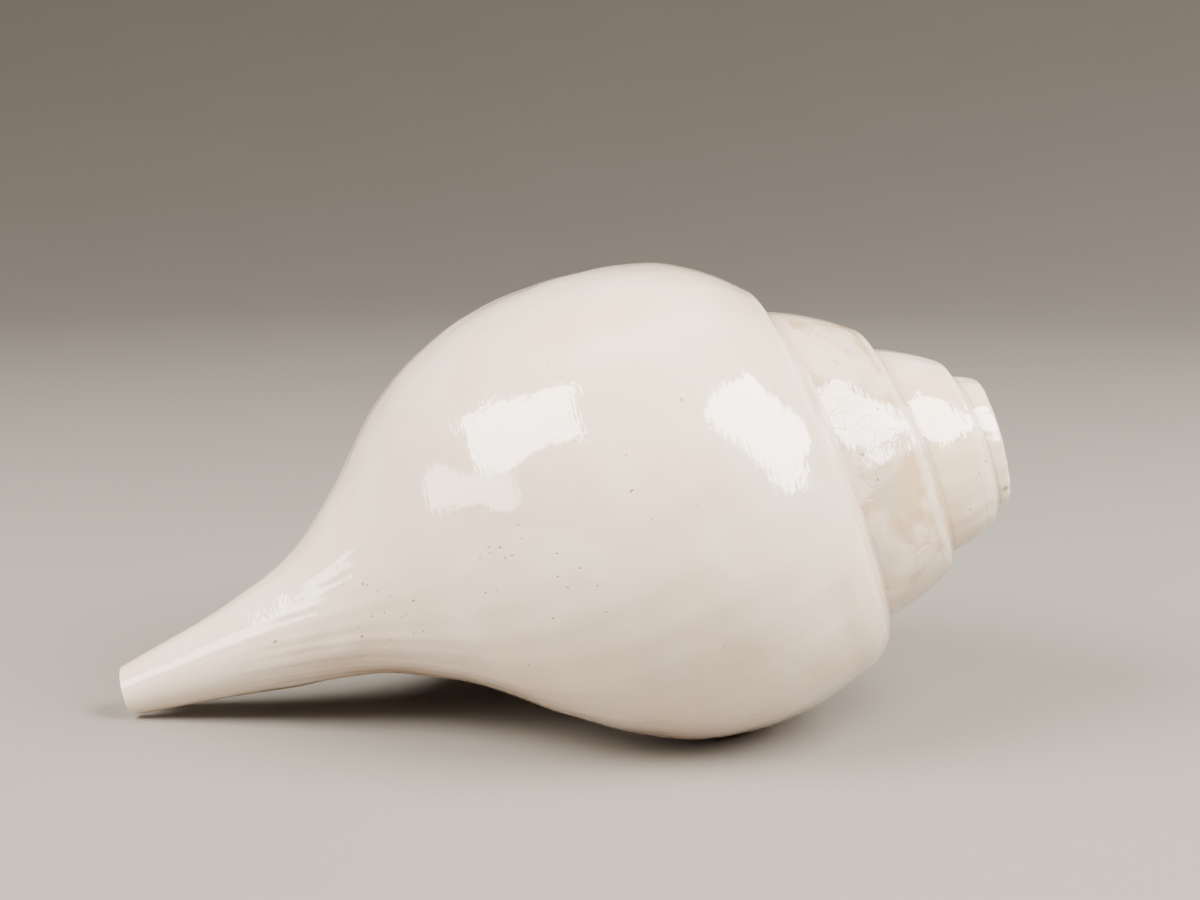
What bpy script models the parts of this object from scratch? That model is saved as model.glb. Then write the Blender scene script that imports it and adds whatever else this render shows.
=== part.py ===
# A conch shell horn: a polished chank shell with its tip cut off to make a blow hole.
# One solid, grown in one piece. Blender 4.5, metres, +Z up, lying aperture down.
#
# Places on the shell are (along, radius, turn): millimetres along the coiling axis from the
# canal tip, millimetres out from it, and the turn in half turns towards the apex. Half turn 0
# is the top of the body whorl, 1 its underside, 2 the top of the next whorl, and so on.

import math

import bmesh
import bpy
import numpy as np
from mathutils import Matrix, Vector

MM = 0.001

# How the shell lies: the axis rises to the apex, and is rolled back a little about X.
AXIS_RISE = math.radians(14.5)
ROLL_BACK = math.radians(10.0)

# The cut at the canal tip and the one at the apex, and the virtual apex that the whorls shrink towards.
TIP_LENGTH = -2.8
CUT_LENGTH = 179.3
APEX_LENGTH = 198.0
WHORL_RATIO = 1.22

# The suture at each half turn, and how far the newer whorl's shoulder stands over it.
HALF_TURNS = tuple(range(-3, 8))
SUTURE_ALONG = (109.5, 120.0, 130.3, 141.0, 151.0, 159.5, 166.2, 173.6, 177.0, 182.0, 186.0)
SUTURE_RADIUS = (54.0, 48.0, 42.2, 36.8, 28.2, 24.2, 19.0, 14.8, 13.2, 10.6, 8.6)
STEP_ALONG = (2.8, 2.8, 2.6, 2.4, 1.5, 1.8, 1.2, 1.3, 1.2, 1.0, 0.9)
STEP_RADIUS = (5.6, 5.4, 5.2, 5.0, 4.5, 4.6, 3.3, 3.7, 2.2, 1.4, 1.1)

# The body whorl's outline at half turns 0 and 1, from the tip to just before the shoulder.
TOP_ALONG = (-2.8, 24.0, 38.0, 48.0, 62.0, 79.4, 93.0, 108.0, 122.2, 131.1, 136.2)
TOP_RADIUS = (5.2, 9.9, 15.0, 23.0, 38.5, 49.1, 52.6, 53.4, 51.5, 47.7, 43.9)
UNDER_ALONG = (-2.8, 28.0, 57.4, 73.0, 86.0, 98.7, 108.0, 118.6, 131.0, 141.0, 148.0)
UNDER_RADIUS = (5.2, 10.6, 16.4, 22.9, 31.0, 38.2, 41.8, 43.0, 41.6, 38.2, 34.6)
# How much of the change per half turn still goes on behind the top, where the neck stops moving.
BACK_ALONG = (0.0, 0.3, 0.3, 0.3, 0.35, 0.5, 0.7, 0.8, 0.8, 0.9, 0.95)
BACK_RADIUS = (0.0, 0.2, 0.3, 0.5, 0.7, 0.9, 1.0, 1.0, 1.0, 1.0, 1.0)

# The outer lip ends the body whorl at these degrees round the axis, from the tip up to the suture.
LIP_ALONG = (-2.8, 24.0, 45.0, 70.0, 95.0, 140.0)
LIP_DEGREES = (226.0, 232.0, 243.0, 247.0, 243.6, 240.0)
LIP_START = 24.0

# The canal leaves the axis towards its tip: down in the view, and back.
CANAL_DROP = 5.25
CANAL_DROP_LENGTH = 52.0
CANAL_DROP_POWER = 1.25
CANAL_BEND = 9.6
CANAL_BEND_LENGTH = 80.0
CANAL_BEND_POWER = 1.6

# How far a band of spire bulges, as a share of its width.
BAND_SWELL = 0.045

# The hollow that winds up from the aperture, and the walls left round it.
WALL = 3.4
SUTURE_WALL = 4.0
CUT_WALL = 3.0
COLUMELLA_RADIUS = 9.0
FLOOR_DEPTH = 0.7
LEAST_HOLLOW = 1.2
TUBE_END = 6.3
# It starts this far out in the air before the lip, lifted off the older whorl there.
AIR_TURNS = 0.14
AIR_LIFT = 2.2
LIP_LEAN_TURNS = 0.2
LOW_END_SPARE = 2.0

# The canal's bore along the axis: its floor, its radius and half the width of its slot.
GROOVE_ALONG = (-7.0, -2.8, 12.0, 24.0, 34.0, 45.0, 60.0, 68.0)
GROOVE_FLOOR = (-2.1, -2.1, -2.0, -1.0, 5.0, 12.0, 17.6, 21.0)
GROOVE_RADIUS = (2.5, 2.6, 3.2, 4.0, 4.6, 5.0, 5.5, 5.5)
GROOVE_SLOT = (1.5, 1.6, 2.0, 2.6, 3.4, 4.2, 5.0, 5.0)
GROOVE_LEAN = math.radians(26.0)
GROOVE_LEAN_LEFT = math.radians(6.0)
GROOVE_LEAN_LENGTH = 60.0
GROOVE_REACH = 14.0

# The blow hole, with its mouth widened, and the flat that the shell stands on.
BLOW_HOLE_RADIUS = 5.5
BLOW_HOLE_DEPTH = 21.0
MOUTH_DEPTH = 2.0
MOUTH_SLOPE = 0.35
FLAT_SPOT_DEPTH = 0.3

# The middle of the shell's box, in the frame that starts at the canal tip.
BOX_MIDDLE = (87.062, 10.409)

COLUMNS_PER_TURN = 48
CANAL_ROWS = 4
BODY_ROWS = 17
BAND_ROWS = 3
LAST_TURN = 7.0
TUBE_STEPS_PER_TURN = 20
TUBE_POINTS = 7
GROOVE_STEPS = 14
GROOVE_POINTS = 9
HOLE_POINTS = 24

CUTTER_SPARE = 10.0
CUTTER_RADIUS = 40.0
BLOCK_SIZE = 0.4


def clear_scene():
    for obj in list(bpy.data.objects):
        bpy.data.objects.remove(obj, do_unlink=True)


def collection_named(name):
    made = bpy.data.collections.new(name)
    bpy.context.scene.collection.children.link(made)
    return made


def spline(x, places, values):
    """A smooth curve through the points, read at x."""
    xs = np.array(places, float)
    ys = np.array(values, float)
    gaps = np.diff(xs)
    slopes = np.diff(ys) / gaps
    tangents = np.concatenate([slopes[:1], slopes])
    tangents[1:-1] = (slopes[:-1] * gaps[1:] + slopes[1:] * gaps[:-1]) / (gaps[1:] + gaps[:-1])
    i = int(np.clip(np.searchsorted(xs, x, side="right") - 1, 0, len(xs) - 2))
    t = (x - xs[i]) / gaps[i]
    start = (2 * t**3 - 3 * t**2 + 1) * ys[i] + (t**3 - 2 * t**2 + t) * gaps[i] * tangents[i]
    end = (3 * t**2 - 2 * t**3) * ys[i + 1] + (t**3 - t**2) * gaps[i] * tangents[i + 1]
    return start + end


def suture(turn):
    return np.array([spline(turn, HALF_TURNS, SUTURE_ALONG), spline(turn, HALF_TURNS, SUTURE_RADIUS)])


def shoulder(turn):
    """The corner above the step, from which the whorl drops to its suture."""
    step_along = spline(turn, HALF_TURNS, STEP_ALONG)
    step_radius = spline(turn, HALF_TURNS, STEP_RADIUS)
    return suture(turn) + np.array([-step_along, step_radius])


def body_outline(turn):
    """Places along the last whorl, and its radius there, up to the shoulder."""
    along = []
    radius = []
    rows = zip(TOP_ALONG, TOP_RADIUS, UNDER_ALONG, UNDER_RADIUS, BACK_ALONG, BACK_RADIUS)
    for top_s, top_r, under_s, under_r, back_s, back_r in rows:
        share_s = turn if turn > 0 else turn * back_s
        share_r = turn if turn > 0 else turn * back_r
        along.append(top_s + (under_s - top_s) * share_s)
        radius.append(top_r * (under_r / top_r) ** share_r)
    corner = shoulder(turn)
    along.append(corner[0])
    radius.append(corner[1])
    return along, radius


def lip_angle(along):
    clipped = min(max(along, LIP_ALONG[0]), LIP_ALONG[-1])
    return math.radians(spline(clipped, LIP_ALONG, LIP_DEGREES))


# The half turns of the outer lip, and of the older whorl that lies under it one turn back.
LIP_TURN = LIP_DEGREES[-1] / 180 - 2
INNER_TURN = LIP_TURN + 2


def angle_at(along, turn):
    """Every growth line leans as the lip does."""
    return lip_angle(along) + math.pi * (turn - INNER_TURN)


def place(along, radius, angle):
    """A point in metres from its place on the shell. Angle 0 is up, and a quarter turn is the front."""
    drop = CANAL_DROP * max(0.0, 1 - along / CANAL_DROP_LENGTH) ** CANAL_DROP_POWER
    bend = CANAL_BEND * max(0.0, 1 - along / CANAL_BEND_LENGTH) ** CANAL_BEND_POWER
    up = radius * math.cos(angle) - drop
    front = radius * math.sin(angle) - bend
    x = along * math.cos(AXIS_RISE) - up * math.sin(AXIS_RISE)
    y = along * math.sin(AXIS_RISE) + up * math.cos(AXIS_RISE)
    back = y * math.sin(ROLL_BACK) - front * math.cos(ROLL_BACK)
    height = y * math.cos(ROLL_BACK) + front * math.sin(ROLL_BACK)
    return (x * MM, back * MM, height * MM)


def vertex(mesh, point, turn):
    along, radius = point
    return mesh.verts.new(place(along, radius, angle_at(along, turn)))


def band_points(turn):
    """The visible strip of the older whorl, from the suture to that whorl's shoulder."""
    low = suture(turn)
    high = shoulder(turn + 2)
    swell = BAND_SWELL * np.linalg.norm(high - low)
    points = []
    for row in range(BAND_ROWS + 1):
        t = row / BAND_ROWS
        point = low + (high - low) * t
        point[1] += swell * 4 * t * (1 - t)
        points.append(point)
    return points


def body_radius(along, turn):
    """The outside of the last whorl. Older whorls are the same shape, smaller."""
    if turn > INNER_TURN:
        size = WHORL_RATIO ** (INNER_TURN - turn)
        grown = APEX_LENGTH - (APEX_LENGTH - along) / size
        return size * body_radius(max(grown, TIP_LENGTH), INNER_TURN)
    s, r = body_outline(turn)
    return spline(along, s, r)


def body_rows(turn):
    """Places along the last whorl, from the tip to its shoulder, closer where it curves more."""
    split = suture(turn - 2)[0]
    top = shoulder(turn)[0]
    canal = np.linspace(TIP_LENGTH, LIP_START, CANAL_ROWS + 1)
    body = np.linspace(LIP_START, split, BODY_ROWS + 1)
    band = np.linspace(split, top, BAND_ROWS + 1)
    return [*canal, *body[1:], *band[1:]]


def body_column(mesh, turn):
    made = []
    for along in body_rows(turn):
        turn_here = angle_at(along, turn) / math.pi
        radius = body_radius(along, turn_here)
        made.append(vertex(mesh, (along, radius), turn))
    return made


def quads_between(mesh, first, second):
    for i in range(len(first) - 1):
        mesh.faces.new((first[i], first[i + 1], second[i + 1], second[i]))


def bridge(mesh, first, second):
    """Fills between two rows of vertices with the same two ends, whatever their numbers."""
    i = 0
    j = 0
    while i < len(first) - 1 or j < len(second) - 1:
        step_first = (i + 1) / (len(first) - 1) if i < len(first) - 1 else 2.0
        step_second = (j + 1) / (len(second) - 1) if j < len(second) - 1 else 2.0
        if step_first <= step_second:
            corners = (first[i], first[i + 1], second[j])
            i += 1
        else:
            corners = (first[i], second[j + 1], second[j])
            j += 1
        if len(set(corners)) == 3:
            mesh.faces.new(corners)


def grow_outside(mesh):
    """One sheet wound round the axis: bands of spire, then the body whorl down to the canal tip."""
    last_column = int(round((LAST_TURN - LIP_TURN) * COLUMNS_PER_TURN / 2))
    turns = [LIP_TURN + 2 * k / COLUMNS_PER_TURN for k in range(last_column + 1)]
    seams = [vertex(mesh, suture(turn), turn) for turn in turns]
    bodies = [body_column(mesh, turn) for turn in turns[:COLUMNS_PER_TURN]]
    corners = [column[-1] for column in bodies]
    corners += [vertex(mesh, shoulder(turn), turn) for turn in turns[COLUMNS_PER_TURN:]]
    bands = []
    for k in range(last_column + 1 - COLUMNS_PER_TURN):
        middle = [vertex(mesh, point, turns[k]) for point in band_points(turns[k])[1:-1]]
        above = k + COLUMNS_PER_TURN
        bands.append([seams[k]] + middle + [corners[above], seams[above]])

    inner = bodies[0][: CANAL_ROWS + 1]
    for along in body_rows(INNER_TURN)[CANAL_ROWS + 1 : CANAL_ROWS + BODY_ROWS]:
        turn_here = angle_at(along, INNER_TURN) / math.pi
        inner.append(vertex(mesh, (along, body_radius(along, turn_here)), INNER_TURN))
    columns = [column + [seam] for column, seam in zip(bodies, seams)]
    columns.append(inner + bands[0])
    for first, second in zip(columns, columns[1:]):
        quads_between(mesh, first, second)
    for first, second in zip(bands, bands[1:]):
        quads_between(mesh, first, second)
    bridge(mesh, inner[CANAL_ROWS:] + [seams[0]], columns[0][CANAL_ROWS:])

    mesh.faces.new([column[0] for column in columns[:-1]])
    tip = mesh.verts.new(place(APEX_LENGTH, 0.0, 0.0))
    last = bands[-1]
    chain = seams[last_column - COLUMNS_PER_TURN :]
    for first, second in zip(last, last[1:]):
        mesh.faces.new((first, second, tip))
    for first, second in zip(chain, chain[1:]):
        mesh.faces.new((second, first, tip))


def tube_section(turn):
    """The hollow of the whorl at one half turn: its outer wall, then the older whorl it wraps."""
    size = WHORL_RATIO ** min(0.0, INNER_TURN - turn)
    if turn <= INNER_TURN:
        low = body_outline(turn)[0][3] - LOW_END_SPARE
    else:
        low = APEX_LENGTH - (APEX_LENGTH - body_outline(INNER_TURN)[0][3]) * size
    high = min(suture(turn)[0] - SUTURE_WALL * size, CUT_LENGTH - CUT_WALL)
    beyond = max(0.0, (LIP_TURN - turn) / AIR_TURNS)
    inner = []
    outer = []
    for share in 0.5 - 0.5 * np.cos(np.linspace(0.0, math.pi, TUBE_POINTS)):
        along = low + (high - low) * share
        turn_here = angle_at(along, turn) / math.pi
        floor = body_radius(along, turn_here + 2) - FLOOR_DEPTH + AIR_LIFT * beyond
        floor = max(floor, COLUMELLA_RADIUS * size)
        roof = body_radius(along, max(turn_here, LIP_TURN - LIP_LEAN_TURNS)) - WALL * size
        outer.append((along, max(roof, floor + LEAST_HOLLOW * size)))
        inner.append((along, floor))
    return outer + inner[::-1]


def groove_section(along):
    """A keyhole: the round bore of the canal, and the slot that opens it to the underside."""
    floor = spline(along, GROOVE_ALONG, GROOVE_FLOOR)
    radius = spline(along, GROOVE_ALONG, GROOVE_RADIUS)
    slot = spline(along, GROOVE_ALONG, GROOVE_SLOT)
    middle = floor + radius
    near_tip = max(0.0, 1 - along / GROOVE_LEAN_LENGTH)
    lean = GROOVE_LEAN_LEFT + (GROOVE_LEAN - GROOVE_LEAN_LEFT) * near_tip
    start = math.asin(slot / radius)
    points = []
    for turn in np.linspace(start, 2 * math.pi - start, GROOVE_POINTS):
        points.append((middle + radius * math.cos(turn), radius * math.sin(turn)))
    points.append((middle + radius + GROOVE_REACH, -slot))
    points.append((middle + radius + GROOVE_REACH, slot))
    placed = []
    for out, side in points:
        angle = lip_angle(along) - lean + math.atan2(side, out)
        placed.append(place(along, math.hypot(out, side), angle))
    return placed


def sweep(name, sections, collection):
    """A closed solid through sections with the same number of points."""
    mesh = bmesh.new()
    rings = [[mesh.verts.new(point) for point in section] for section in sections]
    for first, second in zip(rings, rings[1:]):
        for i in range(len(first)):
            j = (i + 1) % len(first)
            mesh.faces.new((first[i], first[j], second[j], second[i]))
    mesh.faces.new(rings[0][::-1])
    mesh.faces.new(rings[-1])
    return finish_mesh(name, mesh, collection)


def finish_mesh(name, mesh, collection):
    bmesh.ops.remove_doubles(mesh, verts=mesh.verts[:], dist=0.00001)
    bmesh.ops.recalc_face_normals(mesh, faces=mesh.faces[:])
    bmesh.ops.triangulate(mesh, faces=mesh.faces[:])
    data = bpy.data.meshes.new(name)
    mesh.to_mesh(data)
    mesh.free()
    obj = bpy.data.objects.new(name, data)
    collection.objects.link(obj)
    return obj


def make_tube(cutters):
    start = LIP_TURN - AIR_TURNS
    count = int(round((TUBE_END - start) * TUBE_STEPS_PER_TURN / 2))
    sections = []
    for turn in np.linspace(start, TUBE_END, count + 1):
        sections.append([place(s, r, angle_at(s, turn)) for s, r in tube_section(turn)])
    return sweep("whorl_hollow", sections, cutters)


def make_groove(cutters):
    stations = np.linspace(GROOVE_ALONG[0], GROOVE_ALONG[-1], GROOVE_STEPS + 1)
    return sweep("canal_hollow", [groove_section(along) for along in stations], cutters)


def round_cutter(name, rings, collection):
    """A turned solid on the coiling axis, from its places along it and its radius at each."""
    angles = np.linspace(0.0, 2 * math.pi, HOLE_POINTS, endpoint=False)
    sections = [[place(along, radius, angle) for angle in angles] for along, radius in rings]
    return sweep(name, sections, collection)


def make_blow_hole(cutters):
    flare = BLOW_HOLE_RADIUS + MOUTH_SLOPE * (MOUTH_DEPTH + CUTTER_SPARE)
    rings = (
        (CUT_LENGTH - BLOW_HOLE_DEPTH, BLOW_HOLE_RADIUS),
        (CUT_LENGTH - MOUTH_DEPTH, BLOW_HOLE_RADIUS),
        (CUT_LENGTH + CUTTER_SPARE, flare),
    )
    return round_cutter("blow_hole", rings, cutters)


def make_apex_cut(cutters):
    rings = ((CUT_LENGTH, CUTTER_RADIUS), (APEX_LENGTH + CUTTER_SPARE, CUTTER_RADIUS))
    return round_cutter("apex_cut", rings, cutters)


def cut(shell, cutter):
    cutter.hide_render = True
    cutter.display_type = "WIRE"
    step = shell.modifiers.new(cutter.name, "BOOLEAN")
    step.operation = "DIFFERENCE"
    step.object = cutter


def stand_on_floor(shell, hollows):
    """Moves everything so that the box's bottom centre is the origin, at the ground flat spot."""
    points = [vert.co for vert in shell.data.vertices]
    low = min(point.z for point in points) + FLAT_SPOT_DEPTH * MM
    shift = Vector((-BOX_MIDDLE[0] * MM, -BOX_MIDDLE[1] * MM, -low))
    for obj in [shell] + hollows:
        obj.data.transform(Matrix.Translation(shift))


def make_flat_spot(cutters):
    """A block below the floor, which grinds the lowest point of the body whorl flat."""
    bpy.ops.mesh.primitive_cube_add(size=BLOCK_SIZE, location=(0.0, 0.0, -BLOCK_SIZE / 2))
    block = bpy.context.object
    block.name = "ground_flat"
    block.data.name = "ground_flat"
    for owner in list(block.users_collection):
        owner.objects.unlink(block)
    cutters.objects.link(block)
    return block


def shell_material():
    made = bpy.data.materials.new("polished_shell")
    made.use_nodes = True
    shader = made.node_tree.nodes["Principled BSDF"]
    shader.inputs["Base Color"].default_value = (0.83, 0.78, 0.70, 1.0)
    shader.inputs["Roughness"].default_value = 0.18
    shader.inputs["Metallic"].default_value = 0.0
    return made


def build():
    clear_scene()
    parts = collection_named("conch_shell_horn")
    cutters = collection_named("cutters")
    mesh = bmesh.new()
    grow_outside(mesh)
    shell = finish_mesh("conch_shell", mesh, parts)
    hollows = [make_apex_cut(cutters), make_tube(cutters), make_groove(cutters), make_blow_hole(cutters)]
    stand_on_floor(shell, hollows)
    for cutter in hollows + [make_flat_spot(cutters)]:
        cut(shell, cutter)
    shell.data.materials.append(shell_material())
    shell.data.shade_smooth()


build()
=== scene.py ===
import math

import bmesh
import bpy
import numpy as np
from mathutils import Matrix, Vector, kdtree


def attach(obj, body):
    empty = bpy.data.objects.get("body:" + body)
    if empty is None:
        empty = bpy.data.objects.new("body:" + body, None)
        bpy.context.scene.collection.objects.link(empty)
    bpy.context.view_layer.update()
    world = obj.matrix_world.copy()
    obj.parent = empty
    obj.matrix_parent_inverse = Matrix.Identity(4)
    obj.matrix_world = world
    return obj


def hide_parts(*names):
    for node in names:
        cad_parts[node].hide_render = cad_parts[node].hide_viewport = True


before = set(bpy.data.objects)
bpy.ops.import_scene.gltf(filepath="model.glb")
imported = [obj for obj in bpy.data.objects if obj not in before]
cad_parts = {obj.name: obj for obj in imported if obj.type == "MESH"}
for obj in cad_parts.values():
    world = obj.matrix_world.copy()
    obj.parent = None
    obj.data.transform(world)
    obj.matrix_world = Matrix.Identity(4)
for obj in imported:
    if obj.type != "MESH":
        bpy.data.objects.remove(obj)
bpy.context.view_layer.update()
mm = 0.001

# Places on the shell: millimetres along the coiling axis from the canal tip, millimetres out
# from it, and half turns towards the apex. 0 is the top of the body whorl, 1 its underside.
growth = {
    "axisRise": math.radians(14.5),  # the apex end is this much higher
    "rollBack": math.radians(10.0),  # and the shell lies this far over
    "tipAlong": -2.8,
    "cutAlong": 179.3,  # where the apex is sawn off
    "apexAlong": 198.0,  # where it had grown from
    "whorlRatio": 1.22,  # growth over half a turn
    "halfTurns": tuple(range(-3, 8)),  # the suture and the step up from it are given at these
    "sutureAlong": (109.5, 120.0, 130.3, 141.0, 151.0, 159.5, 166.2, 173.6, 177.0, 182.0, 186.0),
    "sutureOut": (54.0, 48.0, 42.2, 36.8, 28.2, 24.2, 19.0, 14.8, 13.2, 10.6, 8.6),
    "stepAlong": (2.8, 2.8, 2.6, 2.4, 1.5, 1.8, 1.2, 1.3, 1.2, 1.0, 0.9),
    "stepOut": (5.6, 5.4, 5.2, 5.0, 4.5, 4.6, 3.3, 3.7, 2.2, 1.4, 1.1),
    "topAlong": (-2.8, 24.0, 38.0, 48.0, 62.0, 79.4, 93.0, 108.0, 122.2, 131.1, 136.2),
    "topOut": (5.2, 9.9, 15.0, 23.0, 38.5, 49.1, 52.6, 53.4, 51.5, 47.7, 43.9),
    "underAlong": (-2.8, 28.0, 57.4, 73.0, 86.0, 98.7, 108.0, 118.6, 131.0, 141.0, 148.0),
    "underOut": (5.2, 10.6, 16.4, 22.9, 31.0, 38.2, 41.8, 43.0, 41.6, 38.2, 34.6),
    # Before the top, towards the lip, the outline changes at these shares of its later rate
    "backAlong": (0.0, 0.3, 0.3, 0.3, 0.35, 0.5, 0.7, 0.8, 0.8, 0.9, 0.95),
    "backOut": (0.0, 0.2, 0.3, 0.5, 0.7, 0.9, 1.0, 1.0, 1.0, 1.0, 1.0),
    "lipAlong": (-2.8, 24.0, 45.0, 70.0, 95.0, 140.0),
    "lipDegrees": (226.0, 232.0, 243.0, 247.0, 243.6, 240.0),
    "lipStart": 24.0,
    # The canal's tip lies lower and further back than a straight one's
    "canalDrop": 5.25,
    "canalDropLength": 52.0,
    "canalDropPower": 1.25,
    "canalBend": 9.6,
    "canalBendLength": 80.0,
    "canalBendPower": 1.6,
    "bandSwell": 0.045,
    # What the wound shell is moved by, to stand on the frame's origin
    "boxMiddle": (87.062, 10.409),
    "floorHeight": -12.8654,
}
lipTurn = growth["lipDegrees"][-1] / 180 - 2
innerTurn = lipTurn + 2


def addNode(tree, kind, links=None, **settings):
    # One node with its settings, links as {input: value or socket}
    node = tree.nodes.new(kind)
    for name, value in settings.items():
        setattr(node, name, value)
    for key, value in (links or {}).items():
        if isinstance(value, bpy.types.Node):
            value = next(socket for socket in value.outputs if socket.enabled)
        if isinstance(value, bpy.types.NodeSocket):
            tree.links.new(value, node.inputs[key])
        else:
            node.inputs[key].default_value = value
    return node


def throughPoints(x, places, values):
    # A smooth curve through points, read at each x. Rows of points may differ from x to x.
    x = np.atleast_1d(np.asarray(x, float))
    places = np.broadcast_to(np.asarray(places, float), (len(x), np.shape(places)[-1]))
    values = np.broadcast_to(np.asarray(values, float), places.shape)
    gaps = np.diff(places, axis=1)
    slopes = np.diff(values, axis=1) / gaps
    tangents = np.concatenate([slopes[:, :1], slopes], axis=1)
    weighted = slopes[:, :-1] * gaps[:, 1:] + slopes[:, 1:] * gaps[:, :-1]
    tangents[:, 1:-1] = weighted / (gaps[:, 1:] + gaps[:, :-1])
    cell = np.clip((places <= x[:, None]).sum(axis=1) - 1, 0, places.shape[1] - 2)
    pick = np.arange(len(x))
    gap = gaps[pick, cell]
    t = (x - places[pick, cell]) / gap
    start = (2 * t**3 - 3 * t**2 + 1) * values[pick, cell]
    start += (t**3 - 2 * t**2 + t) * gap * tangents[pick, cell]
    end = (3 * t**2 - 2 * t**3) * values[pick, cell + 1]
    end += (t**3 - t**2) * gap * tangents[pick, cell + 1]
    return start + end


def smooth(x, low, high):
    t = np.clip((np.asarray(x, float) - low) / (high - low), 0, 1)
    return t * t * (3 - 2 * t)


def lipAngle(along):
    clipped = np.clip(along, growth["lipAlong"][0], growth["lipAlong"][-1])
    return np.radians(throughPoints(clipped, growth["lipAlong"], growth["lipDegrees"]))


def angleAt(along, turn):
    return lipAngle(along) + math.pi * (np.asarray(turn, float) - innerTurn)


def atTurn(turn, name):
    return throughPoints(turn, growth["halfTurns"], growth[name])


def suture(turn):
    return atTurn(turn, "sutureAlong"), atTurn(turn, "sutureOut")


def shoulder(turn):
    # The edge of a whorl, a step up from the suture behind it
    along, out = suture(turn)
    return along - atTurn(turn, "stepAlong"), out + atTurn(turn, "stepOut")


def outlinePoints(turn):
    # The last whorl's outline at each of these half turns, as rows of points
    turn = np.asarray(turn, float)[:, None]
    table = {name: np.array(growth[name])[None] for name in
             ("topAlong", "topOut", "underAlong", "underOut", "backAlong", "backOut")}
    shareAlong = np.where(turn > 0, turn, turn * table["backAlong"])
    shareOut = np.where(turn > 0, turn, turn * table["backOut"])
    along = table["topAlong"] + (table["underAlong"] - table["topAlong"]) * shareAlong
    out = table["topOut"] * (table["underOut"] / table["topOut"]) ** shareOut
    cornerAlong, cornerOut = shoulder(turn[:, 0])
    return np.column_stack([along, cornerAlong]), np.column_stack([out, cornerOut])


def outsideRadius(along, turn):
    # Older whorls are the same shape, smaller
    along = np.atleast_1d(np.asarray(along, float))
    turn = np.broadcast_to(np.asarray(turn, float), along.shape)
    older = turn > innerTurn
    size = np.where(older, growth["whorlRatio"] ** (innerTurn - turn), 1.0)
    grown = np.where(older, growth["apexAlong"] - (growth["apexAlong"] - along) / size, along)
    grown = np.where(older, np.maximum(grown, growth["tipAlong"]), grown)
    places, values = outlinePoints(np.where(older, innerTurn, turn))
    return size * throughPoints(grown, places, values)


# How fine the surface is, and the roundings that the solid leaves out, in millimetres
fineness = {
    "columnsPerTurn": 216,
    "lastTurn": 7.0,
    "canalRows": 14,
    "bodyRows": 96,
    "bandRows": 30,
    "bandCrowding": 1.6,
    "cornerRows": 9,
    "cornerRound": 0.9,
    "cornerShares": (0.9, 0.45),  # of the flank and of the step, at most
    "stepRows": 6,
    "tipShares": (0.88, 0.74, 0.6, 0.45, 0.3, 0.15),  # rings across the canal tip's end
    "joinTurns": 0.4,
    "canalJoin": (24.0, 40.0),
    "weld": 0.00001,  # metres, where the wound plan meets itself
    "sharpAngle": math.radians(50.0),
}

# Low relief that polishing left, in millimetres: growth swellings across each whorl, flats where
# it was ground, and grooves beside the shoulders
relief = {
    "swells": ((0.05, 7.3), (0.035, 12.1), (0.02, 19.7)),  # height, waves to a half turn
    "swellWander": (2.4, 0.9),
    "swellSlant": 9.0,
    "flats": ((0.06, 3.1, 11.0), (0.04, 5.3, 17.0)),  # height, waves round, length along
    "flatSlant": (1.3, 1.9),
    "lines": ((1.5, 0.09), (2.3, 0.13), (3.4, 0.06)),  # from the shoulder, depth
    "lineWidth": 0.22,
    "lineWander": (0.25, 5.0),
    "lineFade": (0.55, 0.45, 3.1, 2.0),
    "canalFade": (16.0, 40.0),
    "footFade": 2.0,
}


def reliefAt(along, turn):
    # Millimetres out from the smooth form
    height = np.zeros(len(along))
    wander, pace = relief["swellWander"]
    for size, waves in relief["swells"]:
        wave = 2 * math.pi * waves * turn + wander * np.sin(pace * turn * waves)
        height += size * np.sin(wave + along / relief["swellSlant"])
    start, slant = relief["flatSlant"]
    for size, waves, length in relief["flats"]:
        across = np.sin(2 * math.pi * along / length + slant * turn)
        height += size * np.sin(2 * math.pi * waves * turn + start) * across
    return height * smooth(along, *relief["canalFade"])


def edgeLines(fromEdge, turn):
    # Fine grooves that run beside a whorl's shoulder
    depth = np.zeros(len(fromEdge))
    reach, pace = relief["lineWander"]
    middle, swing, fadePace, fadeShift = relief["lineFade"]
    for place, size in relief["lines"]:
        wander = reach * math.sin(pace * turn + place)
        fade = middle + swing * math.sin(fadePace * turn + fadeShift * place)
        depth += fade * size * np.exp(-(((fromEdge - place - wander) / relief["lineWidth"]) ** 2))
    return depth


def bandShares():
    # Rows lie closer together towards the shoulder
    t = np.linspace(0, 1, fineness["bandRows"] + 1)
    return 1 - (1 - t) ** fineness["bandCrowding"]


def bandPoints(turn):
    # The strip of one whorl between the suture below it and its own shoulder
    lowAlong, lowOut = (v[0] for v in suture(turn - 2))
    highAlong, highOut = (v[0] for v in shoulder(turn))
    t = bandShares()
    swell = growth["bandSwell"] * math.hypot(highAlong - lowAlong, highOut - lowOut)
    out = lowOut + (highOut - lowOut) * t + swell * 4 * t * (1 - t)
    return lowAlong + (highAlong - lowAlong) * t, out


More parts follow.
